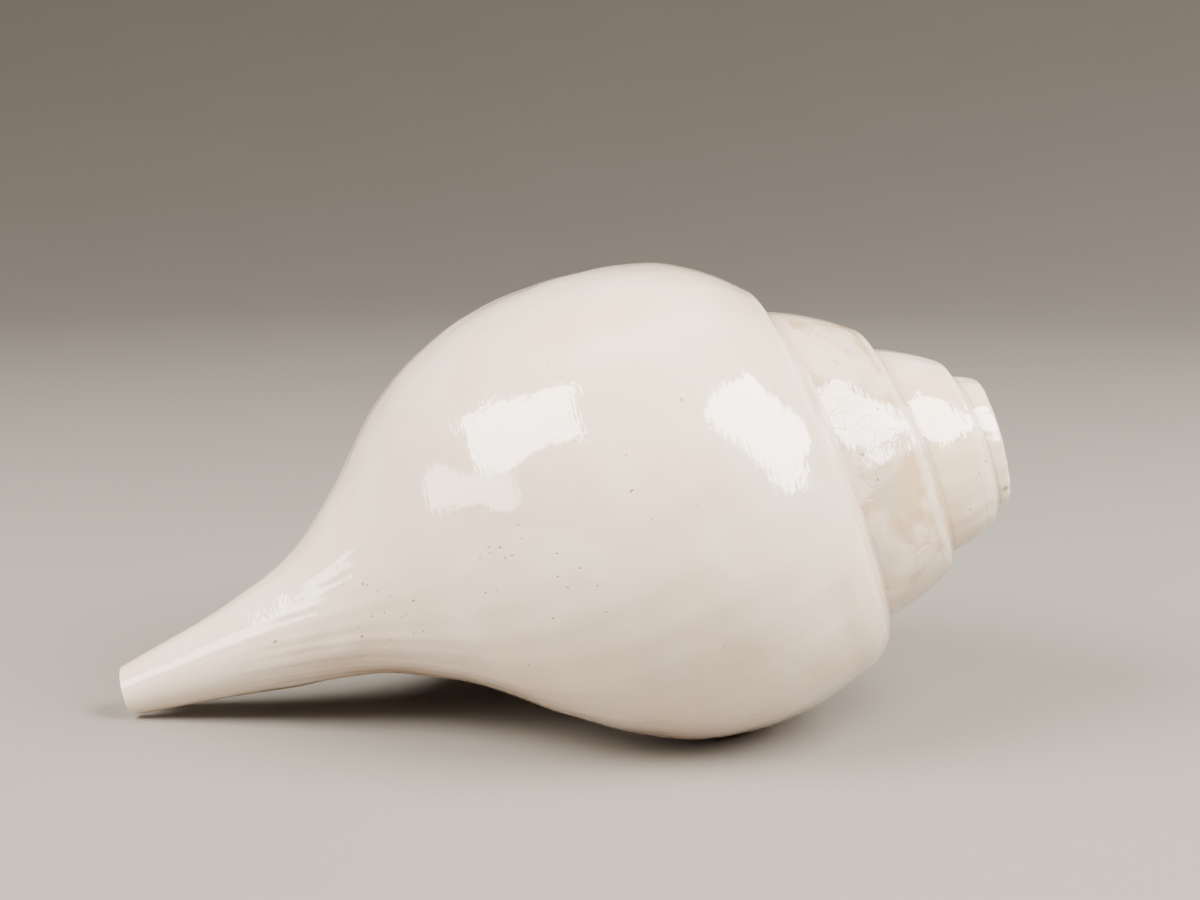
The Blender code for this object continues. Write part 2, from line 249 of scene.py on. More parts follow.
def withShoulder(along, out, turn):
    # Trades the last point, a sharp shoulder, for a rounded one and the step down to the suture
    corner = np.array([along[-1], out[-1]])
    seam = np.array([v[0] for v in suture(turn)])
    before = np.array([along[-2], out[-2]])
    reach = fineness["cornerRound"]
    flankShare, stepShare = fineness["cornerShares"]
    start = corner + (before - corner) * min(flankShare, reach / np.linalg.norm(before - corner))
    end = corner + (seam - corner) * min(stepShare, reach / np.linalg.norm(seam - corner))
    t = np.linspace(0, 1, fineness["cornerRows"] + 1)[:, None]
    arc = (1 - t) ** 2 * start + 2 * t * (1 - t) * corner + t**2 * end
    drop = end + (seam - end) * np.linspace(0, 1, fineness["stepRows"] + 1)[1:, None]
    flank = np.column_stack([along[:-1], out[:-1]])
    fromEdge = np.hypot(flank[:, 0] - corner[0], flank[:, 1] - corner[1])
    footAlong, footOut = (v[0] for v in suture(turn - 2))
    fromFoot = np.hypot(flank[:, 0] - footAlong, flank[:, 1] - footOut)
    joined = smooth(turn, innerTurn - fineness["joinTurns"], innerTurn)
    atFoot = 1 - smooth(fromFoot, 0.0, relief["footFade"])
    fade = smooth(fromEdge, 0.0, 1.0) * (1 - joined * atFoot)
    flank[:, 1] += (reliefAt(flank[:, 0], turn) - edgeLines(fromEdge, turn)) * fade
    rows = np.concatenate([flank, arc, drop])
    return rows[:, 0], rows[:, 1]


def bodyColumn(turn):
    # From the canal tip to the suture at the body whorl's shoulder
    split = suture(turn - 2)[0][0]
    top = shoulder(turn)[0][0]
    canal = np.linspace(growth["tipAlong"], growth["lipStart"], fineness["canalRows"] + 1)
    body = np.linspace(growth["lipStart"], split, fineness["bodyRows"] + 1)
    band = split + (top - split) * bandShares()
    along = np.concatenate([canal, body[1:], band[1:]])
    out = outsideRadius(along, angleAt(along, turn) / math.pi)
    # Over its last part the column turns into the first one at the canal, and into a band above
    share = smooth(turn, innerTurn - fineness["joinTurns"], innerTurn)
    atLip = outsideRadius(along, angleAt(along, lipTurn) / math.pi)
    out += (atLip - out) * share * (1 - smooth(along, *fineness["canalJoin"]))
    bandAlong, bandOut = bandPoints(turn)
    bandRow = len(along) - len(bandAlong)
    along[bandRow:] += (bandAlong - along[bandRow:]) * share
    out[bandRow:] += (bandOut - out[bandRow:]) * share
    return withShoulder(along, out, turn)


def planOf(along, out, angle):
    # Laid out flat: x along the axis, y out from it, z the angle round it
    return np.column_stack([np.broadcast_to(v, np.shape(along)) for v in (along, out, angle)])


class FlatPlan:
    # Points and faces of a sheet before it is wound up
    def __init__(self):
        self.points = []
        self.faces = []
        self.count = 0

    def add(self, points):
        self.points.append(points)
        self.count += len(points)
        return list(range(self.count - len(points), self.count))

    def sheet(self, columns):
        for first, second in zip(columns, columns[1:]):
            for i in range(len(first) - 1):
                corners = dict.fromkeys((first[i], first[i + 1], second[i + 1], second[i]))
                if len(corners) > 2:
                    self.faces.append(tuple(corners))

    def bridge(self, first, second):
        # Triangles between two rows of different lengths
        i = j = 0
        while i < len(first) - 1 or j < len(second) - 1:
            stepFirst = (i + 1) / (len(first) - 1) if i < len(first) - 1 else 2.0
            stepSecond = (j + 1) / (len(second) - 1) if j < len(second) - 1 else 2.0
            if stepFirst <= stepSecond:
                corners = (first[i], first[i + 1], second[j])
                i += 1
            else:
                corners = (first[i], second[j + 1], second[j])
                j += 1
            if len(set(corners)) == 3:
                self.faces.append(corners)

    def mesh(self, name):
        made = bpy.data.meshes.new(name)
        made.from_pydata(np.concatenate(self.points).tolist(), [], self.faces)
        return made


# The outer lip is rolled over: depths into the wall, and how thick the roll is
lip = {
    "depths": (0.25, 0.6, 1.0, 1.5, 2.0, 2.5, 2.9, 3.5, 4.3),
    "rollRadius": 1.75,
    "rollEnd": 2.9,
    "fullGap": 8.0,
    "gapShare": 0.85,
    "leastGap": 0.001,
    "backTurns": 0.12,
    "backLeastOut": 12.0,
}


def lipFace(plan, lipColumn, inner, lipPlaces, innerPlaces):
    # Thin strips over the edge of the lip, then a bridge to the older whorl under it
    def share(places):
        steps = np.linalg.norm(np.diff(places[:, :2], axis=0), axis=1)
        return np.concatenate([[0], np.cumsum(steps)]) / steps.sum()

    target = np.column_stack([np.interp(share(lipPlaces), share(innerPlaces), innerPlaces[:, k])
                              for k in (0, 1)])
    away = target - lipPlaces[:, :2]
    gap = np.linalg.norm(away, axis=1)
    roll = lip["rollRadius"]
    strips = [lipColumn]
    for depth in lip["depths"]:
        reach = np.minimum(depth, lip["gapShare"] * gap * depth / lip["depths"][-1])
        moved = lipPlaces[:, :2] + away * (reach / np.maximum(gap, lip["leastGap"]))[:, None]
        rolled = min(depth, lip["rollEnd"])
        forward = math.sqrt(max(0.0, roll**2 - (rolled - roll) ** 2))
        forward = forward * np.clip(gap / lip["fullGap"], 0, 1)
        offset = lipPlaces[:, 2] - angleAt(lipPlaces[:, 0], lipTurn)
        angle = angleAt(moved[:, 0], lipTurn) + offset - forward / moved[:, 1]
        strip = plan.add(planOf(moved[1:-1, 0], moved[1:-1, 1], angle[1:-1]))
        strips.append([lipColumn[0]] + strip + [lipColumn[-1]])
    plan.sheet(strips[::-1])
    plan.bridge(inner, strips[-1])


def lipBack(turn, out):
    # Draws the edge back by the roll's height, so that the roll's front is where the lip ends
    fade = 1 - smooth(turn, lipTurn, lipTurn + lip["backTurns"])
    return lip["rollRadius"] / np.maximum(out, lip["backLeastOut"]) * fade


def outsidePlan():
    # Whorl upon whorl: body columns from the tip to the suture, then the bands of the spire
    plan = FlatPlan()
    perTurn = fineness["columnsPerTurn"]
    count = int(round((fineness["lastTurn"] - lipTurn) * perTurn / 2))
    turns = [lipTurn + 2 * k / perTurn for k in range(count + 1)]
    bodies = []
    places = []
    for turn in turns[: perTurn + 1]:
        along, out = bodyColumn(turn)
        back = lipBack(turn, out)
        back *= smooth(along, growth["lipStart"], growth["lipStart"] + lip["fullGap"])
        back *= 1 - smooth(along, shoulder(turn)[0][0] - lip["fullGap"], shoulder(turn)[0][0])
        places.append(planOf(along, out, angleAt(along, turn) + back))
        bodies.append(plan.add(places[-1]))
    # The canal closes on itself, and from there on the lip stands off the older whorl
    start = fineness["canalRows"]
    split = start + fineness["bodyRows"]
    bodies[-1][: start + 1] = bodies[0][: start + 1]
    plan.sheet(bodies)
    bands = []
    for turn in turns[perTurn:]:
        along, out = withShoulder(*bandPoints(turn), turn)
        bands.append(plan.add(planOf(along, out, angleAt(along, turn))))
    plan.sheet(bands)
    inner = slice(start, split + 1)
    lipFace(plan, bodies[0][start:], bodies[-1][inner], places[0][start:], places[-1][inner])
    tip = np.array([place[0] for place in places[:-1]])
    rings = [[column[0] for column in bodies[:-1]]]
    rings += [plan.add(tip * (1.0, share, 1.0)) for share in fineness["tipShares"]]
    plan.sheet([ring + ring[:1] for ring in rings])
    plan.faces.append(rings[-1])
    apex = plan.add(planOf([growth["apexAlong"]], [0.0], 0.0))[0]
    for first, second in zip(bands[-1], bands[-1][1:]):
        plan.faces.append((first, second, apex))
    seams = [column[-1] for column in bands[-perTurn - 1 :]]
    for first, second in zip(seams, seams[1:]):
        plan.faces.append((second, first, apex))
    return plan.mesh("outsidePlan")


# The hollow of the whorls, with its roof a wall's thickness in and its floor on the older whorl
hollow = {
    "wall": 3.4,
    "sutureWall": 4.0,
    "cutWall": 3.0,
    "columellaRadius": 9.0,
    "leastHeight": 1.2,
    "endTurn": 6.3,
    "airTurns": 0.14,
    "airLift": 2.2,
    "floorDepth": 0.7,
    "floorTurns": (-0.02, 0.22),
    "roofTurns": -0.2,
    "endPower": 8,
    "endShare": 0.85,
    "lowPoint": 3,
    "lowSpare": 2.0,
    "points": 33,
    "stepsPerTurn": 96,
    "folds": ((0.14, 0.9), (0.21, 1.5), (0.28, 2.1), (0.345, 1.6)),  # share of the way, height
    "foldWidth": 0.017,
    "foldTurns": (0.01, 0.16),
}


def hollowSection(turn):
    # One cut through the hollow: along under its roof, and back over its floor and the folds
    size = growth["whorlRatio"] ** min(0.0, innerTurn - turn)
    lowest = outlinePoints([min(turn, innerTurn)])[0][0][hollow["lowPoint"]]
    if turn <= innerTurn:
        low = lowest - hollow["lowSpare"]
    else:
        low = growth["apexAlong"] - (growth["apexAlong"] - lowest) * size
    high = suture(turn)[0][0] - hollow["sutureWall"] * size
    high = min(high, growth["cutAlong"] - hollow["cutWall"])
    share = 0.5 - 0.5 * np.cos(np.linspace(0, math.pi, hollow["points"]))
    along = low + (high - low) * share
    here = angleAt(along, turn) / math.pi
    beyond = max(0.0, (lipTurn - turn) / hollow["airTurns"])
    first, last = hollow["floorTurns"]
    sink = hollow["floorDepth"] * smooth(turn, lipTurn + first, lipTurn + last)
    floor = outsideRadius(along, here + 2) - sink + hollow["airLift"] * beyond
    floor = np.maximum(floor, hollow["columellaRadius"] * size)
    folds = smooth(turn - lipTurn, *hollow["foldTurns"])
    for place, height in hollow["folds"]:
        fold = np.exp(-(((share - place) / hollow["foldWidth"]) ** 2))
        floor = floor + folds * size * height * fold
    roof = outsideRadius(along, np.maximum(here, lipTurn + hollow["roofTurns"]))
    roof = np.maximum(roof - hollow["wall"] * size, floor + hollow["leastHeight"] * size)
    around = np.abs(2 * share - 1) ** hollow["endPower"]
    rounded = floor + (roof - floor) * np.sqrt(1 - hollow["endShare"] * around)
    return np.concatenate([along, along[::-1]]), np.concatenate([rounded, floor[::-1]])


def sweptPlan(name, sections):
    # A closed body through rings of points
    plan = FlatPlan()
    rings = [plan.add(section) for section in sections]
    plan.sheet([ring + ring[:1] for ring in rings])
    plan.faces.append(rings[0][::-1])
    plan.faces.append(rings[-1])
    return plan.mesh(name)


def hollowPlan():
    start = lipTurn - hollow["airTurns"]
    count = int(round((hollow["endTurn"] - start) * hollow["stepsPerTurn"] / 2))
    sections = []
    for turn in np.linspace(start, hollow["endTurn"], count + 1):
        along, out = hollowSection(turn)
        sections.append(planOf(along, out, angleAt(along, turn)))
    return sweptPlan("hollowPlan", sections)


# The siphonal canal: a round bore from the aperture to the tip, open along a slot that leans away
# from the lip's edge
canal = {
    "along": (-7.0, -2.8, 12.0, 24.0, 34.0, 45.0, 60.0, 68.0),
    "floor": (-2.1, -2.1, -2.0, -1.0, 5.0, 12.0, 17.6, 21.0),
    "radius": (2.5, 2.6, 3.2, 4.0, 4.6, 5.0, 5.5, 5.5),
    "slot": (1.5, 1.6, 2.0, 2.6, 3.4, 4.2, 5.0, 5.0),
    "lean": math.radians(26.0),
    "leanLeft": math.radians(6.0),
    "leanLength": 60.0,
    "reach": 14.0,
    "steps": 84,
    "points": 27,
    "slotPoints": 12,
}


def canalPlan():
    sections = []
    for along in np.linspace(canal["along"][0], canal["along"][-1], canal["steps"] + 1):
        floor, radius, slot = (throughPoints(along, canal["along"], canal[name])[0]
                               for name in ("floor", "radius", "slot"))
        middle = floor + radius
        left = max(0.0, 1 - along / canal["leanLength"])
        lean = canal["leanLeft"] + (canal["lean"] - canal["leanLeft"]) * left
        start = math.asin(slot / radius)
        turn = np.linspace(start, 2 * math.pi - start, canal["points"])
        up = middle + radius * np.cos(turn)
        side = radius * np.sin(turn)
        climb = np.linspace(up[-1], middle + radius + canal["reach"], canal["slotPoints"])[1:]
        up = np.concatenate([up, climb, climb[::-1]])
        side = np.concatenate([side, np.full(len(climb), -slot), np.full(len(climb), slot)])
        angle = lipAngle(along)[0] - lean + np.arctan2(side, up)
        sections.append(planOf(np.full(len(up), along), np.hypot(up, side), angle))
    return sweptPlan("canalPlan", sections)


# The sawn apex and the blow hole bored in it, widening a little at its mouth
blowHole = {
    "radius": 5.5,
    "depth": 21.0,
    "mouthDepth": 2.0,
    "mouthSlope": 0.35,
    "mouthRings": 5,
    "spare": 10.0,
    "cutRadius": 40.0,
    "cutRings": (4.0, 17.0, 16),  # from, to, how many
    "points": 96,
}


def turnedPlan(name, rings):
    angle = np.linspace(0, 2 * math.pi, blowHole["points"], endpoint=False)
    return sweptPlan(name, [planOf(np.full(len(angle), along), out, angle) for along, out in rings])


def blowHolePlan():
    # Rings a millimetre apart, and closer ones in the mouth
    cut = growth["cutAlong"]
    mouth = blowHole["mouthDepth"]
    start = cut - blowHole["depth"]
    rings = [(start + k, blowHole["radius"]) for k in range(int(blowHole["depth"] - mouth))]
    for rise in (*np.linspace(0, mouth, blowHole["mouthRings"]), mouth + blowHole["spare"]):
        rings.append((cut - mouth + rise, blowHole["radius"] + blowHole["mouthSlope"] * rise))
    return turnedPlan("blowHolePlan", rings)


def apexCutPlan():
    # Rings across the cut, so that its rim can be rounded over evenly
    rings = [(growth["cutAlong"], out) for out in np.linspace(*blowHole["cutRings"])]
    rings.append((growth["cutAlong"], blowHole["cutRadius"]))
    rings.append((growth["apexAlong"] + blowHole["spare"], blowHole["cutRadius"]))
    return turnedPlan("apexCutPlan", rings)


# The tree's inputs that come straight from the growth
windingSizes = ("axisRise", "rollBack", "canalDrop", "canalDropLength", "canalDropPower",
                "canalBend", "canalBendLength", "canalBendPower")


def windingTree():
    # Winds a flat plan round the leaning axis, and bends the canal
    tree = bpy.data.node_groups.new("windUpShell", "GeometryNodeTree")
    kinds = {"Geometry": "Geometry", **dict.fromkeys((*windingSizes, "weld"), "Float"),
             "shift": "Vector", "material": "Material"}
    for name, kind in kinds.items():
        tree.interface.new_socket(name, in_out="INPUT", socket_type="NodeSocket" + kind)
    tree.interface.new_socket("Geometry", in_out="OUTPUT", socket_type="NodeSocketGeometry")
    given = addNode(tree, "NodeGroupInput").outputs
    flatPlace = addNode(tree, "GeometryNodeInputPosition")
    along, out, angle = addNode(tree, "ShaderNodeSeparateXYZ", {0: flatPlace}).outputs

    bends = []
    for bend in ("canalDrop", "canalBend"):
        length, power = given[bend + "Length"], given[bend + "Power"]
        share = addNode(tree, "ShaderNodeMath", {0: along, 1: length}, operation="DIVIDE")
        left = addNode(tree, "ShaderNodeMath", {0: 1.0, 1: share}, operation="SUBTRACT")
        left = addNode(tree, "ShaderNodeMath", {0: left, 1: 0.0}, operation="MAXIMUM")
        curve = addNode(tree, "ShaderNodeMath", {0: left, 1: power}, operation="POWER")
        bends.append(addNode(tree, "ShaderNodeMath", {0: curve, 1: given[bend]}, operation="MULTIPLY"))
    sides = []
    for turnedBy, bend in zip(("COSINE", "SINE"), bends):
        turned = addNode(tree, "ShaderNodeMath", {0: angle}, operation=turnedBy)
        side = addNode(tree, "ShaderNodeMath", {0: turned, 1: out}, operation="MULTIPLY")
        sides.append(addNode(tree, "ShaderNodeMath", {0: side, 1: bend}, operation="SUBTRACT"))
    back = addNode(tree, "ShaderNodeMath", {0: sides[1], 1: -1.0}, operation="MULTIPLY")
    place = addNode(tree, "ShaderNodeCombineXYZ", {0: along, 1: back, 2: sides[0]})
    for name, axis in (("axisRise", "Y_AXIS"), ("rollBack", "X_AXIS")):
        lean = addNode(tree, "ShaderNodeMath", {0: given[name], 1: -1.0}, operation="MULTIPLY")
        place = addNode(tree, "ShaderNodeVectorRotate", {"Vector": place, "Angle": lean},
                        rotation_type=axis)
    place = addNode(tree, "ShaderNodeVectorMath", {0: place, 1: given["shift"]}, operation="SUBTRACT")
    place = addNode(tree, "ShaderNodeVectorMath", {0: place, "Scale": mm}, operation="SCALE")
    wound = addNode(tree, "GeometryNodeSetPosition", {"Geometry": given["Geometry"], "Position": place})
    welded = addNode(tree, "GeometryNodeMergeByDistance", {0: wound, "Distance": given["weld"]})
    real = addNode(tree, "GeometryNodeRealizeInstances", {0: welded})
    marked = addNode(tree, "GeometryNodeSetMaterial", {0: real, "Material": given["material"]})
    addNode(tree, "NodeGroupOutput", {0: marked})
    return tree


def evaluatedMesh(piece):
    graph = bpy.context.evaluated_depsgraph_get()
    return bpy.data.meshes.new_from_object(piece.evaluated_get(graph), depsgraph=graph)


def woundPiece(name, plan, tree, material):
    piece = bpy.data.objects.new(name, plan)
    bpy.context.scene.collection.objects.link(piece)
    winder = piece.modifiers.new("windUp", "NODES")
    winder.node_group = tree
    values = {name: growth[name] for name in windingSizes}
    values["weld"] = fineness["weld"]
    values["shift"] = (*growth["boxMiddle"], growth["floorHeight"])
    values["material"] = material
    for socket in tree.interface.items_tree:
        if socket.in_out == "INPUT" and socket.name in values:
            winder[socket.identifier] = values[socket.name]
    made = evaluatedMesh(piece)
    piece.modifiers.remove(winder)
    piece.data = made
    sheet = bmesh.new()
    sheet.from_mesh(made)
    bmesh.ops.recalc_face_normals(sheet, faces=sheet.faces[:])
    bmesh.ops.triangulate(sheet, faces=[f for f in sheet.faces if len(f.verts) > 4])
    openEdges = sum(1 for edge in sheet.edges if len(edge.link_faces) != 2)
    sheet.to_mesh(made)
    sheet.free()
    print(name, "faces", len(made.polygons), "open edges", openEdges)
    return piece


# How wide each cut edge was rounded over by hand, in millimetres, and how often it is smoothed
rounding = {
    "hollowMark": (2.6, 36),
    "rimMark": (1.6, 10),
    "weld": 0.00012,  # metres
    "finPasses": 3,
    "strength": 0.5,
    "tipStrength": 0.08,  # the canal's thin tip is smoothed less
    "tipFade": (4.0, 24.0),
}


def carve(shell, hollows):
    # Each cut keeps its cutter's mark, by which its edge is found again
    for cutter in hollows:
        step = shell.modifiers.new(cutter.name, "BOOLEAN")
        step.operation = "DIFFERENCE"
        step.solver = "EXACT"
        step.object = cutter
        step.material_mode = "TRANSFER"
    made = evaluatedMesh(shell)
    shell.modifiers.clear()
    shell.data = made
    for cutter in hollows:
        bpy.data.objects.remove(cutter)
    print("carved", len(made.polygons), "faces", [m.name for m in made.materials])


def markOf(mesh, faces):
    return {mesh.materials[face.material_index].name for face in faces}


def seamPoints(sheet, mesh):
    # The points of the edges where a cut meets the outside, by the cut's mark
    seams = {"hollowMark": set(), "rimMark": set()}
    for edge in sheet.edges:
        marks = markOf(mesh, edge.link_faces)
        if len(marks) < 2:
            continue
        for name, points in seams.items():
            if name in marks:
                points.update(edge.verts)
    return seams


def byIndex(verts):
    # A set's own order changes from run to run, and what is welded would change with it
    return sorted(verts, key=lambda vert: vert.index)


def nearness(sheet, points, reach):
    # 1 at a seam, falling to 0 at the reach
    tree = kdtree.KDTree(len(points))
    for i, point in enumerate(points):
        tree.insert(point.co, i)
    tree.balance()
    near = np.zeros(len(sheet.verts))
    for i, vert in enumerate(sheet.verts):
        near[i] = max(0.0, 1 - tree.find(vert.co)[2] / (reach * mm))
    return near


def dropFins(sheet):
    # Welding a sliver can leave a face that hangs on by one edge
    for _ in range(rounding["finPasses"]):
        fins = [face for face in sheet.faces if any(len(edge.link_faces) == 1 for edge in face.edges)
                and any(len(edge.link_faces) > 2 for edge in face.edges)]
        bmesh.ops.delete(sheet, geom=fins, context="FACES")
    bmesh.ops.delete(sheet, geom=[edge for edge in sheet.edges if not edge.link_faces], context="EDGES")
    bmesh.ops.delete(sheet, geom=[vert for vert in sheet.verts if not vert.link_faces], context="VERTS")


def roundSeams(shell):
    # Welds the slivers along the cuts' edges, then smooths the edges round
    mesh = shell.data
    sheet = bmesh.new()
    sheet.from_mesh(mesh)
    bmesh.ops.triangulate(sheet, faces=[face for face in sheet.faces if len(face.verts) > 4])
    sheet.verts.index_update()
    seams = seamPoints(sheet, mesh)
    close = {vert for points in seams.values() for vert in points}
    ring = set(close)
    for vert in close:
        ring.update(edge.other_vert(vert) for edge in vert.link_edges)
    bmesh.ops.remove_doubles(sheet, verts=byIndex(ring), dist=rounding["weld"])
    dropFins(sheet)
    sheet.verts.index_update()
    seams = seamPoints(sheet, mesh)
    ends = np.array([[v.index for v in edge.verts] for edge in sheet.edges])
    count = np.bincount(ends.ravel(), minlength=len(sheet.verts))[:, None]
    place = np.array([vert.co[:] for vert in sheet.verts])
    fromTip = smooth(shellPlaces(place)[0], *rounding["tipFade"])[:, None]
    strength = rounding["tipStrength"] + (rounding["strength"] - rounding["tipStrength"]) * fromTip
    for name, points in seams.items():
        reach, times = rounding[name]
        near = smooth(nearness(sheet, byIndex(points), reach), 0, 1)[:, None] * strength
        for _ in range(times):
            total = np.zeros_like(place)
            np.add.at(total, ends[:, 0], place[ends[:, 1]])
            np.add.at(total, ends[:, 1], place[ends[:, 0]])
            place += (total / np.maximum(count, 1) - place) * near
    place[:, 2] = np.maximum(place[:, 2], 0.0)
    for vert, co in zip(sheet.verts, place):
        vert.co = co
    print("rounded", {name: len(points) for name, points in seams.items()})
    sheet.to_mesh(mesh)
    sheet.free()


def nearTip(along, bend):
    # How far the canal is bent at a place along it
    return growth[bend] * np.maximum(1 - along / growth[bend + "Length"], 0) ** growth[bend + "Power"]


def shellPlaces(points):
    # Undoes the winding: along, out and angle of points given in metres
    p = points / mm + np.array([*growth["boxMiddle"], growth["floorHeight"]])
    roll, rise = growth["rollBack"], growth["axisRise"]
    height = p[:, 2] * math.cos(roll) + p[:, 1] * math.sin(roll)
    front = p[:, 2] * math.sin(roll) - p[:, 1] * math.cos(roll)
    along = p[:, 0] * math.cos(rise) + height * math.sin(rise)
    up = height * math.cos(rise) - p[:, 0] * math.sin(rise)
    up = up + nearTip(along, "canalDrop")
    front = front + nearTip(along, "canalBend")
    return along, np.hypot(up, front), np.arctan2(front, up)


def metresAt(along, out, degrees):
    # A place on the shell in the scene's own metres
    up = out * math.cos(math.radians(degrees)) - nearTip(along, "canalDrop")
    front = out * math.sin(math.radians(degrees)) - nearTip(along, "canalBend")
    lean = Matrix.Rotation(-growth["rollBack"], 3, "X") @ Matrix.Rotation(-growth["axisRise"], 3, "Y")
    shift = Vector((*growth["boxMiddle"], growth["floorHeight"]))
    return (lean @ Vector((along, -front, up)) - shift) * mm


# Pits where worms bored it: along, out, degrees round and width, in millimetres
pits = (
    (119.6, 48.9, 62.0, 0.7), (107.4, 49.0, 71.2, 0.4), (106.8, 48.5, 78.8, 0.6),
    (81.4, 40.4, 82.3, 0.4), (83.1, 41.0, 85.1, 0.5), (81.8, 40.2, 85.1, 0.4),
    (52.8, 19.1, 76.4, 0.5), (53.5, 19.5, 78.3, 0.4), (55.5, 20.2, 82.8, 0.4),
    (62.1, 24.0, 91.9, 0.5), (52.8, 17.7, 96.8, 0.4), (49.5, 15.7, 110.3, 0.4),
    (32.0, 11.4, 94.8, 0.6), (149.7, 31.6, 80.9, 0.6), (151.5, 30.7, 90.5, 0.5),
    (173.4, 17.5, 65.2, 0.6), (174.3, 16.8, 99.5, 0.6), (177.8, 13.2, 134.2, 0.9),
)
# Patches of specks: half turns, millimetres along, how many and how wide
specks = (
    ((0.4, 0.56), (76.0, 98.0), 16, 0.32), ((0.4, 0.62), (44.0, 66.0), 9, 0.3),
    ((-0.6, 1.3), (60.0, 128.0), 40, 0.24), ((1.5, 5.2), (128.0, 176.0), 36, 0.3),
)
speckSeed = 11


def storePits(mesh, points, values):
    # At each face's corners, the way from its nearest pit in pit widths, exact in between too
    picker = np.random.default_rng(speckSeed)
    places = [(*metresAt(along, out, degrees), width) for along, out, degrees, width in pits]
    for turns, alongs, count, width in specks:
        fits = (values["turn"] > turns[0]) & (values["turn"] < turns[1]) & (values["inside"] == 0)
        fits &= (values["along"] > alongs[0]) & (values["along"] < alongs[1])
        for i in picker.choice(np.flatnonzero(fits), count, replace=False):
            places.append((*points[i], width))
    places = np.array(places)
    centres = np.zeros(len(mesh.polygons) * 3)
    mesh.polygons.foreach_get("center", centres)
    centres = centres.reshape(-1, 3)
    nearest = np.zeros(len(centres), int)
    closest = np.full(len(centres), np.inf)
    for i, place in enumerate(places):
        away = np.linalg.norm(centres - place[:3], axis=1)
        nearest = np.where(away < closest, i, nearest)
        closest = np.minimum(closest, away)
    corners = np.array([loop.vertex_index for loop in mesh.loops])
    nearest = np.repeat(nearest, [face.loop_total for face in mesh.polygons])
    way = (points[corners] - places[nearest, :3]) / (places[nearest, 3:] * mm)
    made = mesh.attributes.new("fromPit", "FLOAT_VECTOR", "CORNER")
    made.data.foreach_set("vector", way.astype(np.float32).ravel())


# How a point's whorl is told, in half turns and millimetres
tracing = {"beforeLip": 0.06, "underRoof": 2.5, "beyondSuture": 0.01, "olderWhorls": 3,
           "lastWhorl": 5, "noFoot": 99.0}


def storePlaces(shell):
    # Where each point lies on the shell, for the finish to follow
    mesh = shell.data
    points = np.array([v.co[:] for v in mesh.vertices])
    along, out, angle = shellPlaces(points)
    early = tracing["beforeLip"]
    turn = lipTurn - early + np.mod((angle - lipAngle(along)) / math.pi + early, 2)
    under = out < outsideRadius(along, turn) - tracing["underRoof"]
    turn = np.where(under & (turn < lipTurn), turn + 2, turn)
    known = growth["halfTurns"][0], growth["halfTurns"][-1]
    for _ in range(tracing["olderWhorls"]):
        beyond = along > suture(np.clip(turn, *known))[0] + tracing["beyondSuture"]
        turn = np.where(beyond & (turn < tracing["lastWhorl"]), turn + 2, turn)
    edgeAlong, edgeOut = shoulder(np.clip(turn, *known))
    footAlong, footOut = suture(np.clip(turn - 2, *known))
    fromFoot = np.hypot(along - footAlong, out - footOut)
    inside = np.zeros(len(points))
    faces = np.zeros(len(points))
    for face in mesh.polygons:
        for i in face.vertices:
            faces[i] += 1
            inside[i] += mesh.materials[face.material_index].name == "hollowMark"
    values = {
        "along": along,
        "turn": turn,
        "out": out,
        "inside": inside / np.maximum(faces, 1),
        "fromEdge": np.hypot(along - edgeAlong, out - edgeOut),
        "fromFoot": np.where(turn > innerTurn, fromFoot, tracing["noFoot"]),
    }
    for name, value in values.items():
        made = mesh.attributes.new(name, "FLOAT", "POINT")
        made.data.foreach_set("value", value.astype(np.float32))
    storePits(mesh, points, values)


def growShell():
    tree = windingTree()
    marks = [bpy.data.materials.new(name) for name in ("outsideMark", "hollowMark", "rimMark")]
    shell = woundPiece("conchShellSurface", outsidePlan(), tree, marks[0])
    hollows = [
        woundPiece("apexCutter", apexCutPlan(), tree, marks[2]),
        woundPiece("hollowCutter", hollowPlan(), tree, marks[1]),
        woundPiece("canalCutter", canalPlan(), tree, marks[1]),
        woundPiece("blowHoleCutter", blowHolePlan(), tree, marks[2]),
    ]
    carve(shell, hollows)
    roundSeams(shell)
    storePlaces(shell)
    shell.data.materials.clear()
    shell.data.shade_smooth()
    shell.data.set_sharp_from_angle(angle=fineness["sharpAngle"])
    return shell


def linear(hexColour):
    # sRGB hex to the linear values that shaders take
    parts = [int(hexColour[i : i + 2], 16) / 255 for i in (1, 3, 5)]
    return tuple(c / 12.92 if c <= 0.04045 else ((c + 0.055) / 1.055) ** 2.4 for c in parts) + (1.0,)


